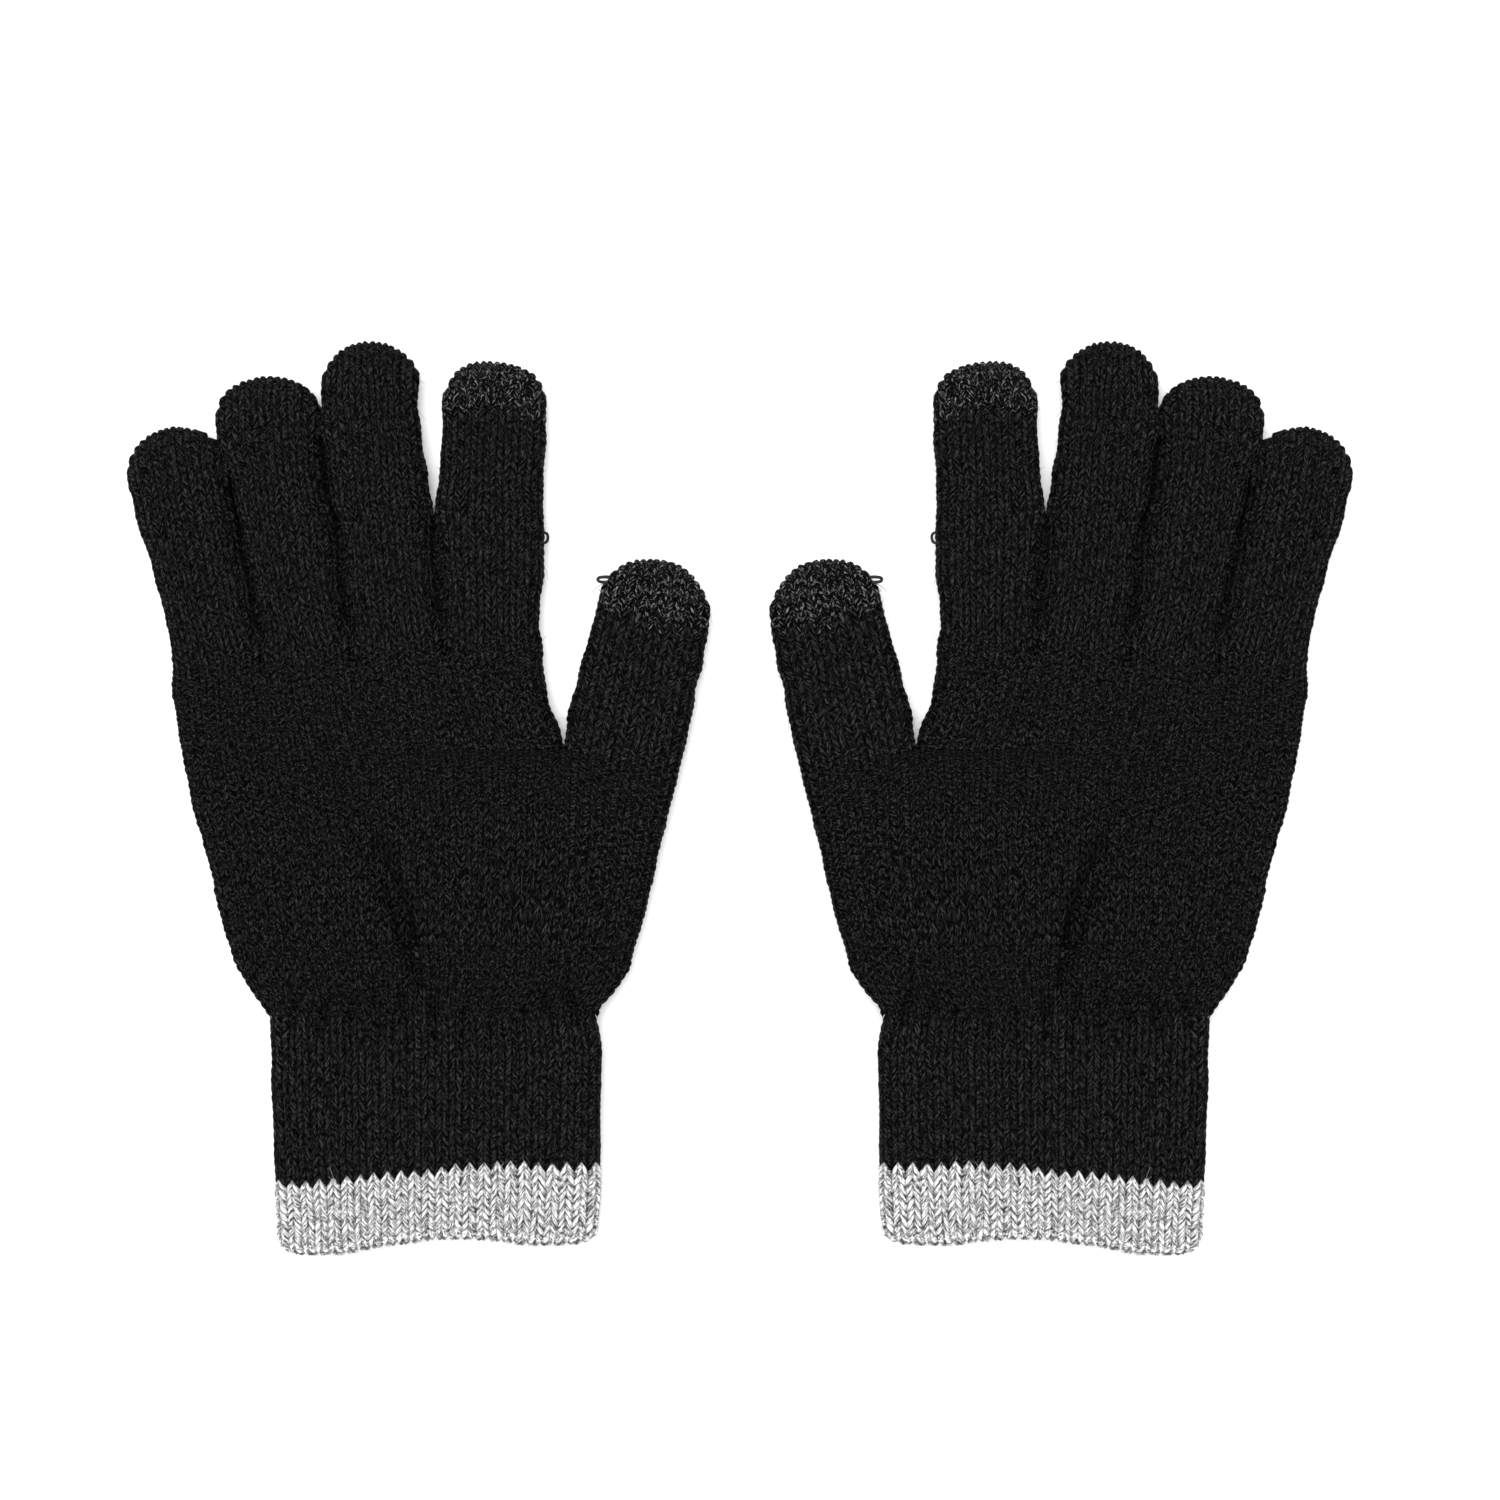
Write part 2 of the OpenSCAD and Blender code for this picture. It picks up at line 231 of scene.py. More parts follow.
def middle_of(columns):
    """How far each column is from the middle of its wale: 0 there, 1 in the groove between two."""
    wale = np.arange(columns) / PER_WALE
    return np.abs(2 * (wale % 1) - 1)


def zigzag(columns, lean):
    """What a row of stitches adds to the course number along it."""
    return -lean * (middle_of(columns) - 0.5)


def stitches(columns, course, seed, groove=0.2):
    """Height of the yarn over the base surface, 0 to 1: two leaning legs in each stitch."""
    q = middle_of(columns)[None, :]
    across = np.clip(np.sin(np.pi * (0.04 + 0.96 * q)), 0, 1) ** 0.75
    along = np.sqrt(np.clip(1 - (2 * (course % 1) - 1) ** 2, 0, 1))
    r = np.random.default_rng(seed)
    legs = r.uniform(0.72, 1.1, (int(course.max()) + 40, columns // (PER_WALE // 2)))
    leg = (np.arange(columns) // (PER_WALE // 2))[None, :]
    return across * (groove + (1 - groove) * along) * legs[np.floor(course).astype(int), leg]


def normals(grid):
    """Outward unit normals of a tube of points, rows along it and columns round it."""
    around = np.roll(grid, -1, 1) - np.roll(grid, 1, 1)
    n = np.cross(np.gradient(grid, axis=0), around)
    return n / np.maximum(np.linalg.norm(n, axis=-1, keepdims=True), 1e-9)


def meet(grid, edge):
    """Moves the grid's first rows so that row 0 lies on edge, less and less away from it."""
    gap = edge - grid[0]
    for k in range(MEET_ROWS):
        grid[k] += gap * (1 - k / MEET_ROWS)


ripple = waves(14, 7, 30, 3)            # the surface's small unevenness
sway_x, sway_y = waves(10, 9, 40, 11), waves(10, 9, 40, 12)


def sway(grid, amount=0.22):
    """Small sideways wander, as no wale runs quite straight."""
    g = grid.copy()
    g[..., 0] += amount * sway_x(grid)
    g[..., 1] += amount * sway_y(grid)
    return g


def cleft_sides(f, s, x, z):
    """The offsets across of one section, with its sides drawn in at the clefts and out below them."""
    until = np.where(x > 0, *CLEFT[f.name])
    cleft = smooth(s, 5, 10) * (1 - smooth(s, until - 8, until))
    side, share = np.sign(x), np.abs(x / x.max())
    lower, upper = smooth(z, -4.4, -3.7), smooth(z, -3.5, -2.5)
    wall = side * x.max() * (1 - (np.abs(z) / z.max()) ** 8).clip(0) ** 0.125      # a fuller underside
    x = x + smooth(cleft, 0, 0.2) * (z < 0) * lower * (wall - x)
    x = x - side * cleft * CLEFT_IN * upper * np.where(z < 0, 1, share ** 3)
    return x + side * cleft * LIP_OUT * lower * (1 - upper)


def finger_shell(f):
    """The whole finger from its base line to its tip. The last row is closed along the silhouette."""
    n, zig = f.columns, zigzag(f.columns, FINGER_LEAN)
    courses = int((f.length - DOME) / f.pitch)
    along, right, left = OUTLINES[f.name]
    rows = []
    for k in range(courses * PER_COURSE + 1):
        at = course_at(k) * f.pitch
        s = (course_at(k) + zig) * f.pitch
        x, z = oval(f.half_width(at), f.half_thick(at), ROUND, n)
        share = x / x.max()
        out = np.where(x > 0, np.interp(s, along, right), np.interp(s, along, left))
        x = cleft_sides(f, s, x, z) + share * out
        xy = f.centre(s) + x[:, None] * f.across(s)
        rows.append(np.c_[xy, z + f.half_thick(np.clip(at, 0, None)) + SKIN])
    course = [np.full(n, float(course_at(k))) for k in range(len(rows))]
    height = [np.ones(n) for _ in rows]

    # the dome: the last section shrinks in thickness while its points run out to the rounded outline
    start, body = s, courses * f.pitch
    end = body + (f.length - SKIN - body) * np.maximum(0.13, np.sqrt(1 - np.abs(share) ** 2.15))
    reach = np.pi / 2 * np.sqrt(((end - start) ** 2 + z ** 2) / 2)
    steps = int(round(reach[n // 4] / f.pitch * PER_COURSE))
    for k in range(1, steps + 1):
        turn = np.pi / 2 * k / steps
        s = start + (end - start) * np.sin(turn)
        xy = f.centre(s) + x[:, None] * f.across(s)
        rows.append(np.c_[xy, z * np.cos(turn) + FINGER_T / 2])
        course.append(courses + k / steps * reach / f.pitch)
        height.append(np.full(n, 1 - smooth(k / steps, 0.93, 1.0)))
    return np.array(rows), np.array(course), np.array(height)


def side_of(columns):
    """1 for the columns on top, -1 underneath, 0 at both edges."""
    j = np.arange(columns)
    return np.where((j == 0) | (j == columns // 2), 0, np.where(j < columns // 2, 1, -1))


def hand_oval():
    """The section of the hand at the thumb's crotch, without the thumb."""
    return oval(np.linalg.norm(CROTCH - LITTLE_EDGE) / 2, PALM_T / 2 - SKIN, 8, HAND_COLUMNS)


def lobes(parts, count):
    """Share of the width from the left, and height, of a ring that has one lobe for each child section.
    parts run from right to left: (right end, left end, offsets across, offsets up)."""
    u, z = np.zeros(count), np.zeros(count)
    at = 0
    for right, left, x, dz in parts:
        half = len(x) // 2
        share = (right + left) / 2 + (right - left) / 2 * x / x.max()
        for j in range(half + 1):
            u[at + j], z[at + j] = share[j], dz[j]
            u[(count - at - j) % count], z[(count - at - j) % count] = share[j], -dz[j]
        at += half
    return u, z


def palm_upper():
    """Base points and course numbers of the hand from the thumb's crotch to the knuckle line."""
    n, courses = HAND_COLUMNS, UPPER_COURSES
    x0, z0 = hand_oval()
    u0 = 0.5 + x0 / x0.max() / 2
    total = sum(BASES)
    parts, at = [], 0
    for f in FINGERS:
        x, z = oval(f.half_width(0), f.half_thick(0), ROUND, f.columns)
        parts.append((1 - at / total, 1 - (at + 2 * x.max() + 2 * SKIN) / total, x, z))
        at += 2 * x.max() + 2 * SKIN
    u1, z1 = lobes(parts, n)
    last = knuckle(total)
    rows, course = [], []
    for k in range(courses * PER_COURSE + 1):
        t0 = course_at(k) / courses
        t = t0 + zigzag(n, PALM_LEAN) / courses
        u = (u0 + (u1 - u0) * np.clip(t0, 0, 1))[:, None]
        near = LITTLE_EDGE + (CROTCH - LITTLE_EDGE) * u
        far = last + (KNUCKLE_0 - last) * u
        xy = near + (far - near) * t[:, None]
        xy[:, 0] -= 1.3 * np.sin(np.pi * np.clip(t, 0, 1)) * u[:, 0] ** 2
        thick = (PALM_T + (FINGER_T - PALM_T) * t0) / 2
        round_off = smooth(t0, 0.68, 1) ** 1.6
        z = z0 * (thick - SKIN) / (PALM_T / 2 - SKIN)
        z = z + (z1 - z) * round_off
        rows.append(np.c_[xy, z + thick])
        course.append(np.full(n, float(course_at(k))))
    return np.array(rows), np.array(course)


# How far the hand's sides lie outside an even curve, at these heights.
PALM_Y = [50, 56, 62, 66, 70, 74, 86, 94, 98, 102, 110, 118]
PALM_RIGHT = [0, -0.3, 0.1, 1.0, 0.8, 0.4, 0, -0.4, -1.0, -0.7, 0, 0]
PALM_LEFT = [0, 0.4, -0.5, -0.5, 0, -0.2, -0.7, -1.0, -0.9, -0.4, -0.4, -0.3]
WAIST_Y = 58.5       # where the gathers draw the sides in most
THUMB_SHARE = (CROTCH[0] - LITTLE_EDGE[0]) / (CROTCH[0] - LITTLE_EDGE[0] + THUMB_W)


def palm_lower():
    """Base points and course numbers of the hand from the rib to the thumb's crotch. The last row has
    one lobe for the hand and one for the thumb."""
    n, courses = HAND_COLUMNS + THUMB_COLUMNS, LOWER_COURSES
    x0, z0 = oval(CUFF_W / 2 - SKIN, CUFF_T / 2 - SKIN, 8, n)
    u0 = 0.5 + x0 / x0.max() / 2
    tx, tz = oval(THUMB.half_width(0), THUMB.half_thick(0), ROUND, THUMB.columns)
    hx, hz = hand_oval()
    u1, z1 = lobes([(1, THUMB_SHARE, tx, tz), (THUMB_SHARE, 0, hx, hz)], n)
    side = side_of(n)
    rows, course = [], []
    for k in range(courses * PER_COURSE + 1):
        t0 = course_at(k) / courses
        t = t0 + zigzag(n, PALM_LEAN) / courses
        tc = np.clip(t, 0.004, None)
        waist = np.exp(-((CUFF_H - WAIST_Y + (CROTCH[1] - CUFF_H) * t) / 3.2) ** 2)
        left = np.stack([-CUFF_W / 2 + 1.6 * waist + (LITTLE_EDGE[0] + CUFF_W / 2) * tc ** 0.58,
                         CUFF_H + (LITTLE_EDGE[1] - CUFF_H) * t], -1)
        right = np.stack([CUFF_W / 2 - 2.1 * waist + (THUMB_OUT[0] - CUFF_W / 2) * tc ** 0.74,
                          CUFF_H + (THUMB_OUT[1] - CUFF_H) * t], -1)
        left[:, 0] -= np.interp(left[:, 1], PALM_Y, PALM_LEFT)
        right[:, 0] += np.interp(right[:, 1], PALM_Y, PALM_RIGHT)
        u = (u0 + (u1 - u0) * smooth(t0, 0, 1))[:, None]
        xy = left + (right - left) * u
        chord = left + (right - left) * THUMB_SHARE
        tent = np.minimum(u / THUMB_SHARE, (1 - u) / (1 - THUMB_SHARE))
        xy += (CROTCH - chord) * np.clip((t - 0.3) / 0.7, 0, None)[:, None] * tent
        thick = (CUFF_T + (PALM_T - CUFF_T) * np.clip(t0 / 0.3, 0, 1)) / 2
        profile = np.sqrt(np.clip(1 - np.abs(2 * u[:, 0] - 1) ** (8 + 3 * t0), 0, None))
        z = side * (thick - SKIN) * profile
        z = z + (z1 - z) * smooth(t0, 0.74, 1) ** 1.6
        rows.append(np.c_[xy, z + thick])
        course.append(np.full(n, float(course_at(k))))
    return np.array(rows), np.array(course)


# ---------------------------------------------------------------- creases, gathers and dimples
# The palm's crease from the rib up: its middle line, and its depth and width along that.
CREASE_Y = [60, 65, 71, 78, 86, 94.6, 103, 112, 120]
CREASE_X = [-3.4, -4.2, -5.2, -6.8, -9.6, -13.6, -18.2, -23.0, -27]
CREASE_DEPTH = [0, 4.5, 6.8, 6.8, 5.6, 4.2, 2.8, 1.4, 0]
CREASE_WIDTH = [1.1, 1.5, 1.9, 2.3, 2.9, 3.4, 3.8, 4, 4]
pleat_wander = waves(6, 18, 50, 21)


def gathers(p):
    """The upright pleats where the rib draws the hand in: narrow furrows that fade out both ways."""
    x, y = p[..., 0], p[..., 1]
    wander = pleat_wander(p)
    above = CUFF_H + 3 * wander
    fade = smooth(y, CUFF_H - 11, CUFF_H - 2) * (1 - smooth(y, above + 2, above + 9))
    furrow = np.abs(np.sin(np.pi * x / 6.6 + 0.7 * wander))
    return fade * (1 - smooth(np.abs(x), 33, 37)) * (0.5 - 2.2 * np.exp(-(furrow / 0.42) ** 2))


def palm_marks(p):
    """How far the palm's surface is pushed out by its crease, swellings, dimples and gathers."""
    x, y, z = p[..., 0], p[..., 1], p[..., 2]
    top = smooth(z, 5.5, 8)
    away = (x - np.interp(y, CREASE_Y, CREASE_X)) * 0.9
    depth, width = np.interp(y, CREASE_Y, CREASE_DEPTH), np.interp(y, CREASE_Y, CREASE_WIDTH)
    push = -top * depth * np.exp(-(away / (width * np.where(away < 0, 1.35, 0.65))) ** 2)
    push += top * 0.2 * depth * np.exp(-((away - 2.0 * width) / (1.2 * width)) ** 2)
    # the mound below the thumb, and a small dimple
    push += top * 0.7 * np.exp(-((x - 18) / 17) ** 2 - ((y - 88) / 18) ** 2)
    push -= top * 0.6 * np.exp(-((x - 16.8) ** 2 + (y - 72.1) ** 2) / 2.6)
    # two faint lines across the little finger's side
    push -= 0.22 * top * np.exp(-((y - 131.4 - 0.02 * x) / 0.8) ** 2) * smooth(-x, 18, 26)
    push -= 0.18 * top * np.exp(-((y - 100.5 + 0.03 * x) / 0.8) ** 2) * smooth(-x, 36, 46)
    # the hand swells above the rib, and starts from under it
    push += 0.5 * top * np.exp(-((y - CUFF_H - 6) / 4.5) ** 2)
    return push + gathers(p) - 0.2 * (1 - smooth(y, CUFF_H - 1.0, CUFF_H + 1.5))


# ---------------------------------------------------------------- the cuff
# How far its lower edge, and the line between grey and black, lie above an even course.
LOW_X = [-39, -33, -29, -22.5, -17, -12.5, -6, 0, 8, 16, 25, 32, 39]
LOW_Y = [1.1, 0.5, 0.4, 0.4, 1.5, 2.2, 3.1, 3.9, 4.0, 3.4, 2.4, 2.6, 3.0]
LINE_X = [-39, -30, -20, -10, 0, 5, 12, 20, 28, 39]
LINE_Y = [-2.6, -2.3, -1.3, -0.1, 0.6, 1.6, 2.1, 2.2, 1.7, 1.6]


def cuff_wave(x, y):
    """How far a point of the cuff is moved up, because the courses do not run straight."""
    low = np.interp(x, LOW_X, LOW_Y) + 3.2 * np.clip((np.abs(x) - 34) / 5, 0, 1) ** 2
    line = np.interp(x, LINE_X, LINE_Y)
    share = np.clip(y / BAND_H, 0, 1)
    return (low + (line - low) * share) * (1 - smooth(y, BAND_H, CUFF_H - 8))


def cuff_ring(y, inwards, columns):
    """A ring round the cuff at heights y, inwards from the outer surface."""
    y = np.broadcast_to(np.asarray(y, float), (columns,))
    mean = float(np.mean(y))
    half = CUFF_W / 2 - SKIN - 0.9 * np.clip((16 - mean) / 16, 0, 1) ** 1.5
    x, z = oval(half - inwards, CUFF_T / 2 - SKIN - inwards, 8, columns)
    left = np.interp(mean, [0, 4, 12, 22, 40, 48.5, 54], [-0.9, -1.1, -1.2, -0.8, 0, 0, 0.3])
    right = np.interp(mean, [0, 4, 40, 46, 50, 54], [-0.3, -0.3, 0, 0.5, 0, -0.9])
    x = x * (1 + np.where(x < 0, left, right) / half)
    return np.c_[x, y + cuff_wave(x, y), z + CUFF_T / 2]


def rib_height(columns, course, seed):
    """The ribs' relief: knit columns that stand up, and sunken purl columns between them."""
    q = middle_of(columns)[None, :]
    body = 0.62 * (1 - smooth(q, 0.55, 1.0))
    return body + 0.5 * stitches(columns, course, seed, groove=0.12) * (1 - 0.5 * smooth(q, 0.6, 1))


def cuff_path(s):
    """Along the cuff's surface: down the inside, round the fold, which ends at s = 0, and up the
    outside. Gives the height, and how far inwards from the outer surface."""
    turn = np.clip(-s / EDGE_R, 0, np.pi)
    fold, inner = EDGE_R - EDGE_R * np.sin(turn), EDGE_R - np.pi * EDGE_R - s
    y = np.where(s >= 0, EDGE_R + s, np.where(s > -np.pi * EDGE_R, fold, inner))
    return y, EDGE_R * (1 - np.cos(turn))


def cuff_grid(c_from, c_to):
    """Rows of the cuff between two course numbers. Course 0 is at the lower edge, on the outside."""
    n = CUFF_WALES * PER_WALE
    zig = zigzag(n, CUFF_LEAN)
    rows, course = [], []
    for k in range(int(round((c_to - c_from) * PER_COURSE)) + 1):
        c = c_from + course_at(k)
        at = c + zig * (0.35 + 0.65 * smooth(np.abs(c + 0.7), 0.8, 2.6))
        s = np.where(at < BAND_COURSES, at * BAND_PITCH, BAND_H + (at - BAND_COURSES) * RIB_PITCH)
        y, inwards = cuff_path(s - EDGE_R)
        ring = cuff_ring(y, 0.0, n)
        ring[:, 0] *= 1 - inwards / (CUFF_W / 2 - SKIN)
        ring[:, 2] = CUFF_T / 2 + (ring[:, 2] - CUFF_T / 2) * (1 - inwards / (CUFF_T / 2 - SKIN))
        rows.append(ring)
        course.append(np.full(n, c))
    return np.array(rows), np.array(course)


# ---------------------------------------------------------------- the sections' skins
def skin_of(base, course, height, seed, marks=None):
    """The knitted surface over base points, and its normals."""
    base = sway(base)
    n = normals(base)
    push = YARN * height * stitches(base.shape[1], course, seed) + 0.14 * ripple(base)
    if marks is not None:
        push = push + marks(base)
    return base + n * push[..., None], n


def cuff_skin(base, course, amplitude):
    """The same for the cuff's ribs."""
    base = sway(base, 0.12)
    n = normals(base)
    counted = course + 2 * TURNED_IN             # no course number may be negative here
    push = amplitude * rib_height(base.shape[1], counted, 51) + gathers(base)
    return base + n * push[..., None], n


def shared(f, place, whole):
    """The columns of the palm's last row that are also a finger's first row. whole is the number of
    columns in that row, and place counts the fingers there from the right edge."""
    c, half = np.arange(f.columns), f.columns // 2
    return np.where(c <= half, place * half + c, whole - f.columns - place * half + c) % whole


def build_sections():
    """Skin, course numbers and normals of the palm and the fingers, whose shared rows are identical."""
    low, low_course = palm_lower()
    low_skin, low_n = skin_of(low, low_course, 1.0, 31, palm_marks)
    up, up_course = palm_upper()
    up_skin, up_n = skin_of(up, up_course, 1.0, 32, palm_marks)
    first = THUMB_COLUMNS // 2
    meet(up_skin, low_skin[-1, first:first + HAND_COLUMNS])
    out = {"palm_lower": (low_skin, low_course, low_n), "palm_upper": (up_skin, up_course, up_n)}
    for k, f in enumerate(FINGERS + [THUMB]):
        base, course, height = finger_shell(f)
        skin, n = skin_of(base, course, height, 40 + k)
        mirrored = skin[-1, -np.arange(f.columns) % f.columns]
        skin[-1] = (skin[-1] + mirrored) / 2
        below, place = (low_skin, 0) if f is THUMB else (up_skin, k)
        meet(skin, below[-1, shared(f, place, below.shape[1])])
        out[f.name] = (skin, course, n)
    return out


# ---------------------------------------------------------------- from grids to meshes
def faces_of(rows, columns, first, flip):
    """Quads round a tube of rows x columns points, seen from outside, and the row and column numbers of
    their corners. first is the tube's first vertex."""
    r, c = np.meshgrid(np.arange(rows - 1), np.arange(columns), indexing="ij")
    r, c = r.ravel(), c.ravel()
    corners = [(r, c), (r + 1, c), (r + 1, c + 1), (r, c + 1)]
    if flip:
        corners = corners[::-1]
    index = np.stack([first + a * columns + b % columns for a, b in corners], -1)
    return index, np.stack([a for a, _ in corners], -1), np.stack([b for _, b in corners], -1)


class Piece:
    """Collects grids and fibres, then makes one mesh object of them."""

    def __init__(self, hand, name):
        self.hand, self.name = hand, f"{hand}_{name}"
        self.points, self.quads, self.maps, self.kinds, self.count = [], [], [], [], 0

    def add(self, points, quads, maps, kind):
        self.points.append(np.asarray(points).reshape(-1, 3))
        self.quads.append(quads)
        self.maps.append(maps)
        self.kinds.append(np.full(len(quads), kind))
        self.count += len(self.points[-1])

    def grid(self, skin, course, inside=False, closed_end=False, start=None, stop=None):
        """A tube of points. closed_end joins the last row's top columns to those below them. start and
        stop give each column's own first and last row."""
        rows, n = skin.shape[:2]
        index, r, c = faces_of(rows, n, self.count, (self.hand == "left") != inside)
        column, row = c.min(-1), r.min(-1)
        keep = np.ones(len(row), bool)
        if start is not None:
            keep &= row >= start[column]
        if stop is not None:
            keep &= row < stop[column]
        index, r, c = index[keep], r[keep], c[keep]
        if closed_end:
            last = index - self.count - (rows - 1) * n
            index = np.where(last > n // 2, self.count + (rows - 1) * n + n - last, index)
        uv = np.stack([c / PER_WALE, course[r, c % n]], -1)
        self.add(skin, index, uv, 0)

    def tubes(self, paths, radius, sides=3, kind=1, taper=0.35):
        """Thin fibres along paths, an array of fibres x points x 3. kind is the number of their
        material, and taper the share of the radius that is left at their end."""
        paths = np.asarray(paths, float)
        m, k = paths.shape[:2]
        run = np.gradient(paths, axis=1)
        run /= np.linalg.norm(run, axis=-1, keepdims=True) + 1e-9
        aside = np.cross(run, [0.31, 0.22, 0.92])
        aside /= np.linalg.norm(aside, axis=-1, keepdims=True) + 1e-9
        other = np.cross(run, aside)
        turn = 2 * np.pi * np.arange(sides) / sides
        thin = np.broadcast_to(radius, (m,))[:, None] * (1 - (1 - taper) * np.linspace(0, 1, k) ** 2)
        ring = np.cos(turn)[:, None] * aside[:, :, None] + np.sin(turn)[:, None] * other[:, :, None]
        points = paths[:, :, None] + thin[:, :, None, None] * ring
        f, a, b = np.meshgrid(np.arange(m), np.arange(k - 1), np.arange(sides), indexing="ij")
        f, a, b = f.ravel(), a.ravel(), b.ravel()
        near, far = self.count + (f * k + a) * sides, self.count + (f * k + a + 1) * sides
        b1 = (b + 1) % sides
        quads = np.stack([near + b, near + b1, far + b1, far + b], -1)
        maps = np.stack([np.stack([b * 0.2, a * 0.4], -1)] * 4, 1)
        if self.hand == "left":
            quads = quads[:, ::-1]
        self.add(points, quads, maps, kind)

    def build(self, materials, nodes):
        """The mesh object. The CAD parts of the nodes it stands for are hidden."""
        points = to_row(np.concatenate(self.points), self.hand)
        quads, maps = np.concatenate(self.quads), np.concatenate(self.maps)
        used = np.unique(quads)
        new = np.zeros(len(points), int)
        new[used] = np.arange(len(used))
        mesh = bpy.data.meshes.new(self.name)
        mesh.vertices.add(len(used))
        mesh.vertices.foreach_set("co", points[used].astype(np.float32).ravel())
        mesh.loops.add(quads.size)
        mesh.loops.foreach_set("vertex_index", new[quads].ravel().astype(np.int32))
        mesh.polygons.add(len(quads))
        mesh.polygons.foreach_set("loop_start", np.arange(0, quads.size, 4, dtype=np.int32))
        mesh.polygons.foreach_set("material_index", np.concatenate(self.kinds).astype(np.int32))
        mesh.polygons.foreach_set("use_smooth", np.ones(len(quads), bool))
        layer = mesh.uv_layers.new(name="knit")
        layer.data.foreach_set("uv", maps.reshape(-1, 2).astype(np.float32).ravel())
        mesh.update(calc_edges=True)
        mesh.validate()
        for m in materials:
            mesh.materials.append(m)
        obj = bpy.data.objects.new(self.name, mesh)
        bpy.context.scene.collection.objects.link(obj)
        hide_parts(*[f"{self.hand}_{n}" for n in nodes])
        return obj


def stray(skin, normal, count, seed, length=(1.2, 3.2), lift=0.75):
    """Loose fibre ends: short curved lines of four points that leave the surface."""
    r = np.random.default_rng(seed)
    rows, n = skin.shape[:2]
    i, j = r.integers(0, rows, count), r.integers(0, n, count)
    start, up = skin[i, j], normal[i, j]
    side = np.cross(up, r.normal(size=(count, 3)))
    side /= np.linalg.norm(side, axis=1, keepdims=True) + 1e-9
    bend = np.cross(up, side) * r.normal(0, 0.45, (count, 1))
    size = r.uniform(*length, (count, 1))
    out = r.uniform(0.15, lift, (count, 1))
    t = np.linspace(0, 1, 4)[None, :, None]
    path = start[:, None] - 0.1 * up[:, None] + size[:, None] * (
        side[:, None] * t + bend[:, None] * t ** 2 + up[:, None] * out[:, None] * (t - 0.45 * t ** 2))
    path[..., 2] = np.clip(path[..., 2], 0.08, None)
    return path


# ---------------------------------------------------------------- materials
def nodes_of(name):
    """A new material, its node tree and its shader."""
    m = bpy.data.materials.new(name)
    m.use_nodes = True
    t = m.node_tree
    for node in list(t.nodes):
        t.nodes.remove(node)
    out, shader = t.nodes.new("ShaderNodeOutputMaterial"), t.nodes.new("ShaderNodeBsdfPrincipled")
    t.links.new(shader.outputs["BSDF"], out.inputs["Surface"])
    return m, t, shader


def add(t, kind, links=(), **values):
    """A new node. links are (output, input name or number), in_NAME=value sets an input, and other
    values set the node's own properties."""
    node = t.nodes.new(kind)
    for key, value in values.items():
        if key.startswith("in_"):
            name = key[3:]
            node.inputs[int(name) if name.isdigit() else name].default_value = value
        else:
            setattr(node, key, value)
    for source, socket in links:
        t.links.new(source, node.inputs[socket])
    return node


def ramp(t, source, stops):
    """A colour ramp of greys: (position, brightness) pairs."""
    node = add(t, "ShaderNodeValToRGB", [(source, "Fac")])
    e = node.color_ramp.elements
    while len(e) < len(stops):
        e.new(0.5)
    for item, (at, grey) in zip(e, stops):
        item.position = at
        item.color = (grey, grey, grey, 1)
    return node


def calc(t, operation, *inputs):
    """The result of a math node. Every input is a number or another node's output."""
    node = add(t, "ShaderNodeMath", operation=operation)
    for k, value in enumerate(inputs):
        if isinstance(value, (int, float)):
            node.inputs[k].default_value = value
        else:
            t.links.new(value, node.inputs[k])
    return node.outputs[0]


def noise(t, where, scale, detail, **values):
    """The value of a noise texture."""
    node = add(t, "ShaderNodeTexNoise", [(where, "Vector")], in_Scale=scale, in_Detail=detail, **values)
    return node.outputs["Fac"]


def remap(t, value, low, high, until=1.0):
    """Takes a value from 0 to until on to low to high."""
    node = add(t, "ShaderNodeMapRange", [(value, "Value")], in_2=until, in_3=low, in_4=high)
    return node.outputs[0]


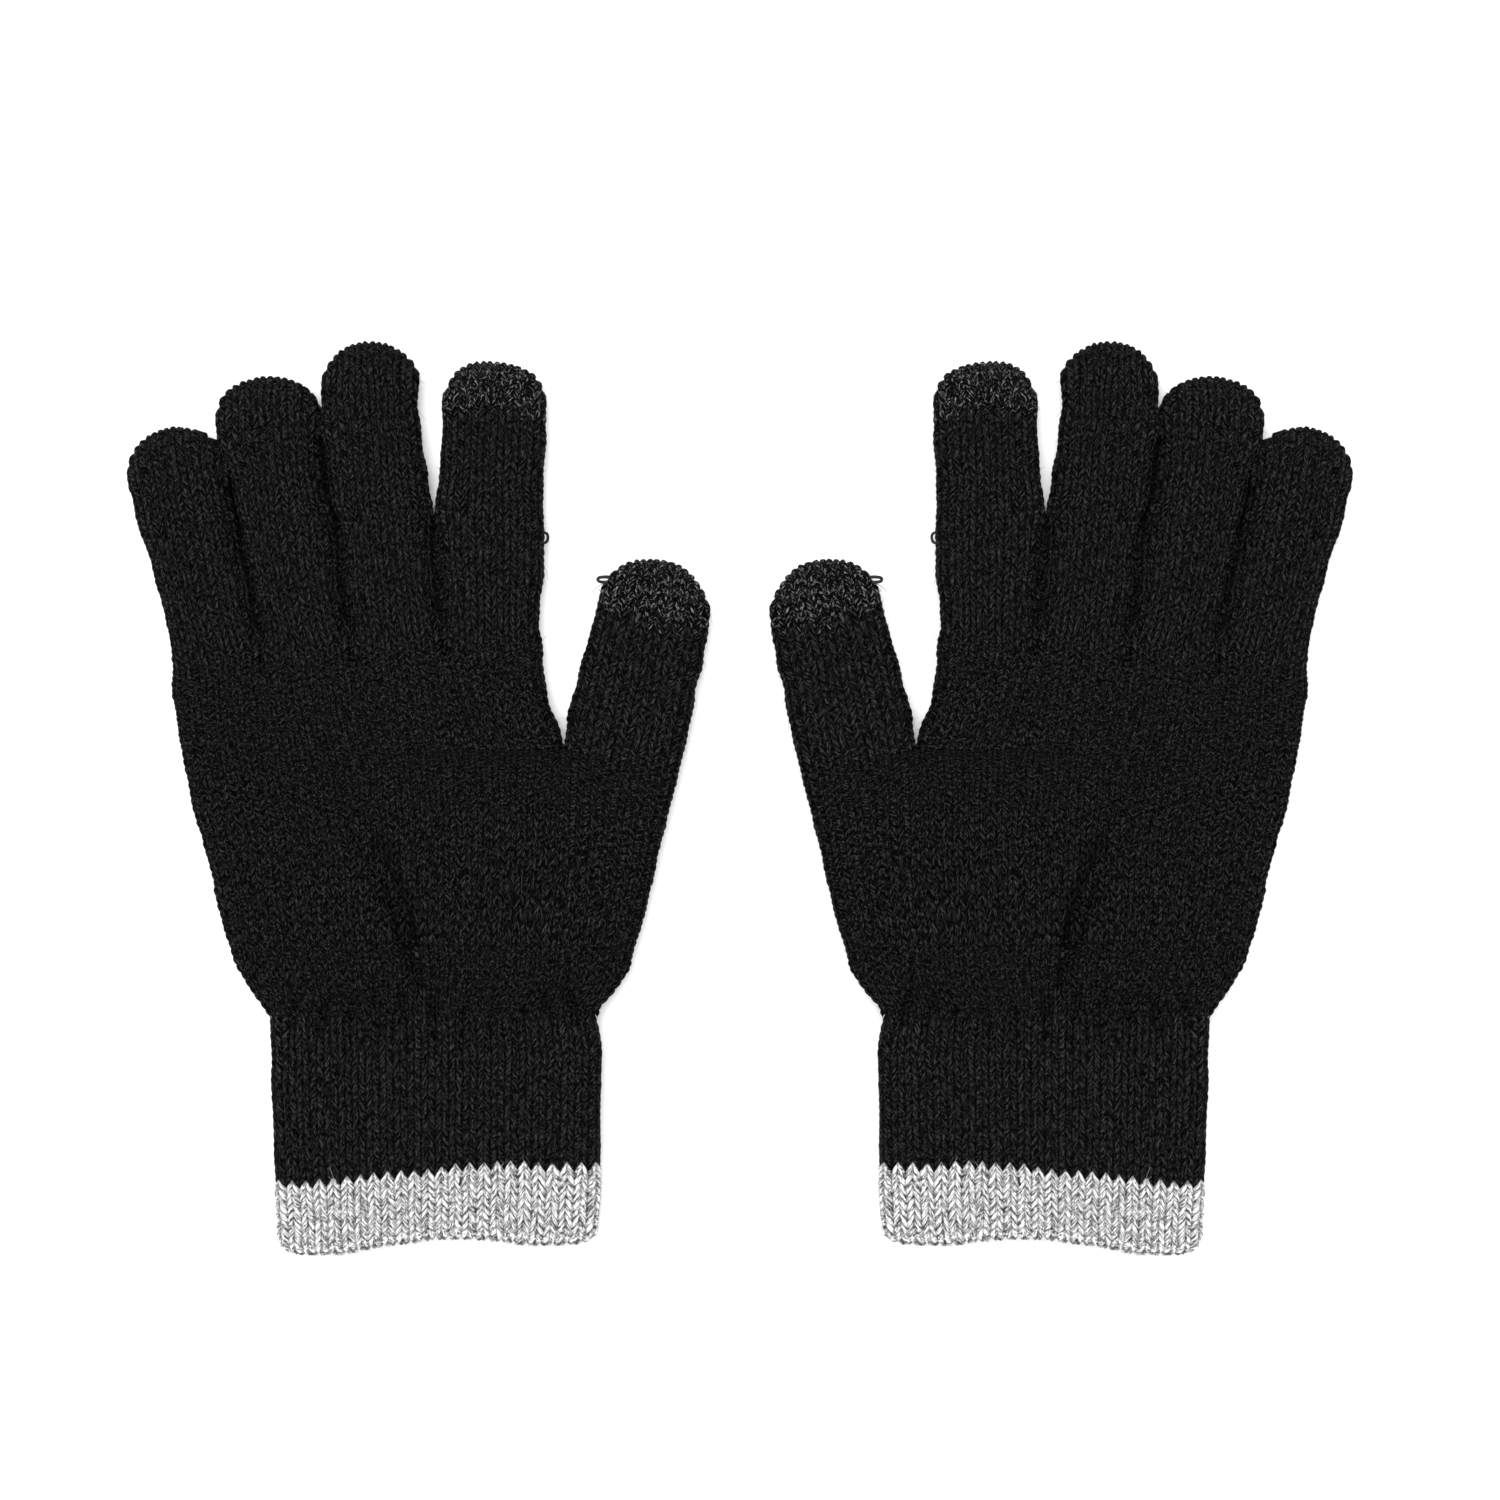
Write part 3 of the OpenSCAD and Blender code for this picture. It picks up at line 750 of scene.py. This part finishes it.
def yarn(name, stops, flecks, rough=0.85, specular=0.15, tint=(0.97, 1.03), painted_gap_shade=(0.5, 0.5),
         clumped=0.3, grained=1.0):
    """Spun yarn on the knit map: u counts wales and v counts courses, so a leg of a stitch is half a
    wale wide and one course long. Fibres run along the leg with a twist, and each leg has its own
    tone. flecks sets how fine the fibres are across and along a leg, and the gap pair how dark the
    colour is painted between courses and between legs: painted shade in the grooves."""
    m, t, shader = nodes_of(name)
    uv = add(t, "ShaderNodeUVMap", uv_map="knit").outputs["UV"]
    split = add(t, "ShaderNodeSeparateXYZ", [(uv, "Vector")])
    legs, courses = calc(t, "MULTIPLY", split.outputs["X"], 2.0), split.outputs["Y"]

    leg, row = calc(t, "FLOOR", legs), calc(t, "FLOOR", courses)
    stitch = add(t, "ShaderNodeCombineXYZ", [(leg, "X"), (row, "Y")])
    luck = add(t, "ShaderNodeTexWhiteNoise", [(stitch.outputs[0], "Vector")], noise_dimensions="3D")
    luck = luck.outputs["Value"]                                    # a random number for each leg

    twist = calc(t, "MULTIPLY_ADD", calc(t, "PINGPONG", legs, 1.0), 0.55, courses)
    place = add(t, "ShaderNodeCombineXYZ", [
        (calc(t, "MULTIPLY", legs, float(flecks[0])), "X"),
        (calc(t, "MULTIPLY", twist, float(flecks[1])), "Y"),
        (calc(t, "MULTIPLY", luck, 7.0), "Z")])
    strands = noise(t, place.outputs[0], 1.0, 3.0, in_Roughness=0.65, in_Distortion=0.4)
    clumps = noise(t, uv, 1.7, 2.0)
    spread = add(t, "ShaderNodeVectorMath", [(uv, 0)], operation="MULTIPLY", in_1=(6.5, 4.0, 0.0))
    grain = noise(t, spread.outputs[0], 1.0, 2.0)
    value = calc(t, "MULTIPLY_ADD", grain, grained, calc(t, "MULTIPLY_ADD", strands, clumped, clumps))
    value = calc(t, "SUBTRACT", value, (clumped + grained) / 2)
    colour = ramp(t, value, stops)

    # Painted shade: the colour is made darker in the grooves between courses and between legs, where
    # the yarn lies in shade.
    painted_course_shade = remap(t, calc(t, "PINGPONG", courses, 0.5), painted_gap_shade[0], 1.0, until=0.22)
    dark = remap(t, calc(t, "PINGPONG", legs, 0.5), painted_gap_shade[1], 1.0, until=0.3)
    # a leg's own random tone, times that painted shade of the grooves
    shade = calc(t, "MULTIPLY", remap(t, luck, *tint), calc(t, "MULTIPLY", painted_course_shade, dark))
    final = add(t, "ShaderNodeVectorMath", [(colour.outputs["Color"], 0), (shade, "Scale")],
                operation="SCALE")
    t.links.new(final.outputs[0], shader.inputs["Base Color"])
    bump = add(t, "ShaderNodeBump", [(value, "Height")], in_Strength=0.8, in_Distance=0.0004)
    t.links.new(bump.outputs["Normal"], shader.inputs["Normal"])
    t.links.new(remap(t, strands, rough - 0.08, rough + 0.08), shader.inputs["Roughness"])
    shader.inputs["Specular IOR Level"].default_value = specular
    return m


def fluff(name, dark, light):
    """Single fibres that stand off the yarn."""
    m, t, shader = nodes_of(name)
    place = add(t, "ShaderNodeTexCoord")
    colour = ramp(t, noise(t, place.outputs["Object"], 420.0, 1.0), [(0.35, dark), (0.65, light)])
    t.links.new(colour.outputs["Color"], shader.inputs["Base Color"])
    shader.inputs["Roughness"].default_value = 0.7
    shader.inputs["Specular IOR Level"].default_value = 0.15
    return m


# The top stops of the two black yarns' ramps paint fibre glints: sparse bright strokes of painted
# highlight in the base colour, over the yarn's own uneven tone.
BLACK = yarn("black_yarn", [(0.3, 0.0002), (0.5, 0.0041), (0.62, 0.0138), (0.76, 0.036)],
             flecks=(2.8, 4.6), rough=0.65, specular=0.025, painted_gap_shade=(0.45, 0.2), clumped=0.1, grained=2.2)
BLACK_PALM = yarn("black_palm_yarn", [(0.3, 0.0002), (0.5, 0.003), (0.62, 0.0108), (0.76, 0.032)],
                  flecks=(3.4, 4.6), rough=0.65, specular=0.025, painted_gap_shade=(0.25, 0.4), clumped=0.1,
                  grained=2.3)
GREY = yarn("grey_marl_yarn", [(0.28, 0.06), (0.42, 0.32), (0.55, 0.68), (0.66, 0.9)],
            flecks=(2.5, 8), specular=0.2, tint=(0.9, 1.08), painted_gap_shade=(0.25, 0.4), clumped=0.5, grained=1.2)
TOUCH = yarn("touch_yarn", [(0.36, 0.0005), (0.53, 0.0025), (0.64, 0.009), (0.8, 0.16)],
             flecks=(3.8, 7), rough=0.6, specular=0.03, tint=(0.8, 1.2), painted_gap_shade=(0.4, 0.3), grained=2.0)
ELASTIC = yarn("elastic_thread", [(0.3, 0.42), (0.5, 0.6), (0.7, 0.72)], flecks=(6, 6), specular=0.3)
BLACK_FLUFF = fluff("black_fibre", 0.006, 0.022)
GREY_FLUFF = fluff("grey_fibre", 0.35, 0.8)
TOUCH_FLUFF = fluff("touch_filament", 0.03, 0.2)


# ---------------------------------------------------------------- making one glove
FIBRE, FILAMENT = 0.028, 0.035       # radii of the black yarn's and of the marl yarns' stray fibres
CUT = 7.5                            # a finger's two sections meet this far below its fold
FOLD_BEND = 6                        # points given to blend_at() this far on both sides of the fold, and at these distances from its base line; nothing bends there points at these heights for the rib's blend_at()
KNUCKLE_BEND = (1.3, 10)             # and between these distances from its base line
WRIST_BEND = (54.3, 44)              # the rib bends between these heights


def blend_at(obj, hand, start, end):
    """Bakes the piece's transform into its mesh. The two points of the right glove's own frame are
    turned into the row frame, but nothing uses them.
    """
    points = to_row([[start[0], start[1], 0], [end[0], end[1], 0]], hand)
    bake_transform(obj)


def loop_of(start, way, reach, lift, span):
    """A small loop of loose yarn that leaves the surface at start, and comes back span away from it."""
    t = np.linspace(0, 1, 22)[:, None]
    way = np.array([*way, 0]) / np.hypot(*way)
    aside = np.array([-way[1], way[0], 0])
    rise = np.sin(np.pi * t)
    wide = aside * span * np.cos(np.pi * t) * (0.5 + 0.3 * rise ** 2)
    return np.array(start) + way * reach * rise ** 0.8 - wide + np.array([0, 0, lift]) * rise


# The loops in the photo: what loop_of() takes, the yarn's radius, and the number of its material.
LOOPS = {
    "palm_upper": [((-59.2, 129.2, 5.8), (-1, 0.1), 2.2, 0.4, 1.0, 0.34, 1)],
    "thumb_lower": [((51.5, 126, 9.6), (0.3, 1), 1.6, 0.5, 0.7, 0.25, 1)],
    "index_upper": [((24.3, 168.5, 5.6), (1, -0.1), 2.1, 0.4, 2.4, 0.36, 1)],
    "thumb_touch": [((41.2, 158.5, 6.2), (-1, 0.0), 3.0, 0.5, 1.2, 0.4, 2),
                    ((40.9, 155.9, 5.6), (-1, -0.1), 1.8, 0.4, 0.9, 0.34, 2)],
}

# How many courses the touch yarn's edge lies above its usual place, wale by wale from the right edge.
TIP_EDGE = {
    "index": [-1, -1, 0, 0, 1, 0, 0, -1, -1, 0, 0, 0, 1, 0, 0, 0],
    "thumb": [0, 0, 0, -1, 0, 1, 0, 0, 0, 0, -1, 0, 0, 0, 1, 0],
}


def add_loops(piece, section):
    """Adds the loops of this section, if it has any."""
    for *shape, radius, kind in LOOPS.get(section, []):
        piece.tubes([loop_of(*shape)], radius, sides=8, taper=1, kind=kind)


def palm_pieces(hand, parts):
    for name, count in (("palm_lower", 650), ("palm_upper", 700)):
        skin, course, n = parts[name]
        piece = Piece(hand, name + "_knit")
        piece.grid(skin, course)
        piece.tubes(stray(skin, n, count, 70 + count), FIBRE)
        if name == "palm_lower":
            lining = (skin - n * LINING)[::PER_COURSE, ::PER_WALE]
            lining[..., 2] = np.clip(lining[..., 2], 1.2, None)
            piece.grid(lining, course[::PER_COURSE, ::PER_WALE], inside=True)
        add_loops(piece, name)
        obj = piece.build((BLACK_PALM, BLACK_FLUFF), [name])
        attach(obj, f"{hand}_palm")


def finger_pieces(hand, f, k, part):
    """The sections of one finger on both sides of its fold, and its touch tip. k sets its seeds."""
    skin, course, n = part
    cut = int((f.fold - CUT) / f.pitch) * PER_COURSE
    tip = edge = skin.shape[0] - 1
    if f.cap is not None:
        tip = int(round((f.length - f.cap) / f.pitch)) * PER_COURSE
        edge = tip + PER_COURSE * np.repeat(TIP_EDGE[f.name], PER_WALE)
    edge = np.broadcast_to(edge, (f.columns,))
    out = np.array([-math.sin(f.tilt), math.cos(f.tilt)])

    piece = Piece(hand, f.name + "_lower_knit")
    piece.grid(skin[:cut + 1], course[:cut + 1])
    piece.tubes(stray(skin[:cut], n[:cut], 110, 200 + k), FIBRE)
    add_loops(piece, f.name + "_lower")
    obj = piece.build((BLACK, BLACK_FLUFF), [f.name + "_base"])
    start, end = KNUCKLE_BEND
    blend_at(obj, hand, f.base + out * start, f.base + out * end)

    piece = Piece(hand, f.name + "_upper_knit")
    piece.grid(skin[cut:], course[cut:], closed_end=True, stop=edge - cut)
    piece.tubes(stray(skin[cut:tip], n[cut:tip], 210, 300 + k), FIBRE)
    add_loops(piece, f.name + "_upper")
    obj = piece.build((BLACK, BLACK_FLUFF), [f.name + "_end"])
    at, reach = f.centre(f.fold), out * FOLD_BEND
    blend_at(obj, hand, at - reach, at + reach)

    if f.cap is None:
        return
    piece = Piece(hand, f.name + "_touch_knit")
    piece.grid(skin, course, closed_end=True, start=edge)
    piece.tubes(stray(skin[tip:-2], n[tip:-2], 130, 400 + k, (0.8, 2.4), 0.4), FILAMENT)
    piece.tubes(stray(skin[tip:-2], n[tip:-2], 110, 430 + k), FIBRE, kind=2)
    add_loops(piece, f.name + "_touch")
    if f is THUMB:                                       # and one long hair beside its loops
        hair = np.linspace(0, 1, 24)[:, None] * [-4.6, -2.2, -1.0]
        hair[:, 1] += 0.5 * np.sin(np.linspace(0, 4.2, 24))
        piece.tubes([hair + (40.6, 157.6, 6.0)], 0.09, sides=5)
    obj = piece.build((TOUCH, TOUCH_FLUFF, BLACK_FLUFF), [f.name + "_touch_tip"])
    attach(obj, f"{hand}_{f.name}_upper")


def blend_wrist(obj, hand):
    blend_at(obj, hand, (0, WRIST_BEND[0]), (0, WRIST_BEND[1]))


def cuff_pieces(hand):
    base, course = cuff_grid(-TURNED_IN, BAND_COURSES)
    skin, n = cuff_skin(base, course, 1.15)
    piece = Piece(hand, "band_knit")
    piece.grid(skin, course)
    low = TURNED_IN * PER_COURSE                         # the row at the lower edge
    piece.tubes(stray(skin[low:], n[low:], 420, 500, (0.8, 2.4), 0.6), FILAMENT)
    t = np.linspace(-1, 1, 9)[:, None]                   # a dark end caught in a stitch of the band
    mark = np.array([6.1, 17.0, 10.95]) + t * [0.15, 0.95, 0] - t ** 2 * [0.1, 0, 0.5]
    piece.tubes([mark], 0.3, sides=8, kind=2)
    obj = piece.build((GREY, GREY_FLUFF, BLACK_FLUFF), ["cuff_band", "cuff_welt"])
    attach(obj, f"{hand}_cuff")

    base, course = cuff_grid(BAND_COURSES, BAND_COURSES + RIB_COURSES + 2)
    skin, n = cuff_skin(base, course, 0.8)
    tuck = smooth(base[..., 1], CUFF_H - 1.2, CUFF_H + 2.6)[..., None]
    skin = skin - n * 1.3 * tuck                         # it ends inside the hand
    piece = Piece(hand, "rib_knit")
    piece.grid(skin, course)
    piece.grid((base - n * (2 * EDGE_R))[:, ::2], course[:, ::2], inside=True)
    piece.tubes(stray(skin, n, 420, 510), FIBRE)
    obj = piece.build((BLACK, BLACK_FLUFF), ["cuff_rib"])
    blend_wrist(obj, hand)

    piece = Piece(hand, "elastic_threads")
    threads = 6
    for k in range(threads):
        y = BAND_H + 2 + (k + 0.5) * (CUFF_H - BAND_H - 4) / threads
        ring = cuff_ring(y, 2 * EDGE_R + 0.35, 240)
        piece.tubes([np.r_[ring, ring[:1]]], 0.3, sides=8, kind=0, taper=1)
    obj = piece.build((ELASTIC,), ["cuff_elastic"])
    blend_wrist(obj, hand)


PARTS = build_sections()
for hand in HANDS:
    palm_pieces(hand, PARTS)
    for k, f in enumerate(FINGERS + [THUMB]):
        finger_pieces(hand, f, k, PARTS[f.name])
    cuff_pieces(hand)


# ---------------------------------------------------------------- floor, light and camera
HALF_FLOOR, FLOOR_Z = 40, -0.0002
corners = [(x * HALF_FLOOR, y * HALF_FLOOR, FLOOR_Z) for x, y in ((-1, -1), (1, -1), (1, 1), (-1, 1))]
mesh = bpy.data.meshes.new("floor")
mesh.from_pydata(corners, [], [(0, 1, 2, 3)])
floor = bpy.data.objects.new("floor", mesh)
bpy.context.scene.collection.objects.link(floor)
paper, tree, shader = nodes_of("floor_paper")
shader.inputs["Base Color"].default_value = (0.93, 0.93, 0.93, 1)
shader.inputs["Roughness"].default_value = 0.9
shader.inputs["Specular IOR Level"].default_value = 0.1
floor.data.materials.append(paper)


def soft_sun(name, place, angle, strength):
    """Even light from far away. The wider its angle in degrees, the softer its shadows."""
    light = bpy.data.lights.new(name, "SUN")
    light.angle, light.energy = math.radians(angle), strength
    obj = bpy.data.objects.new(name, light)
    bpy.context.scene.collection.objects.link(obj)
    x, y, z = place
    obj.rotation_euler = (math.atan2(math.hypot(x, y), z), 0, math.atan2(x, -y))


soft_sun("key_light", (-0.2, 0.4, 1.3), 40, 2.5)
soft_sun("fill_light", (0.1, -0.1, 1.0), 80, 2.3)

world = bpy.data.worlds.new("studio")
world.use_nodes = True
tree = world.node_tree
way = add(tree, "ShaderNodeTexCoord")
axes = add(tree, "ShaderNodeSeparateXYZ", [(way.outputs["Generated"], "Vector")])
sky = ramp(tree, axes.outputs["Z"], [(0.0, 1.0), (0.12, 0.95), (0.5, 0.34)])
tree.links.new(sky.outputs["Color"], tree.nodes["Background"].inputs["Color"])
bpy.context.scene.world = world

camera = bpy.data.cameras.new("camera")
camera.lens, camera.sensor_width = 100, 36
camera.clip_start, camera.clip_end = 0.05, 20
eye = bpy.data.objects.new("camera", camera)
bpy.context.scene.collection.objects.link(eye)
eye.location = (0.0024, 0.0109, 0.990)
bpy.context.scene.camera = eye
bpy.context.scene.view_settings.view_transform = "Standard"
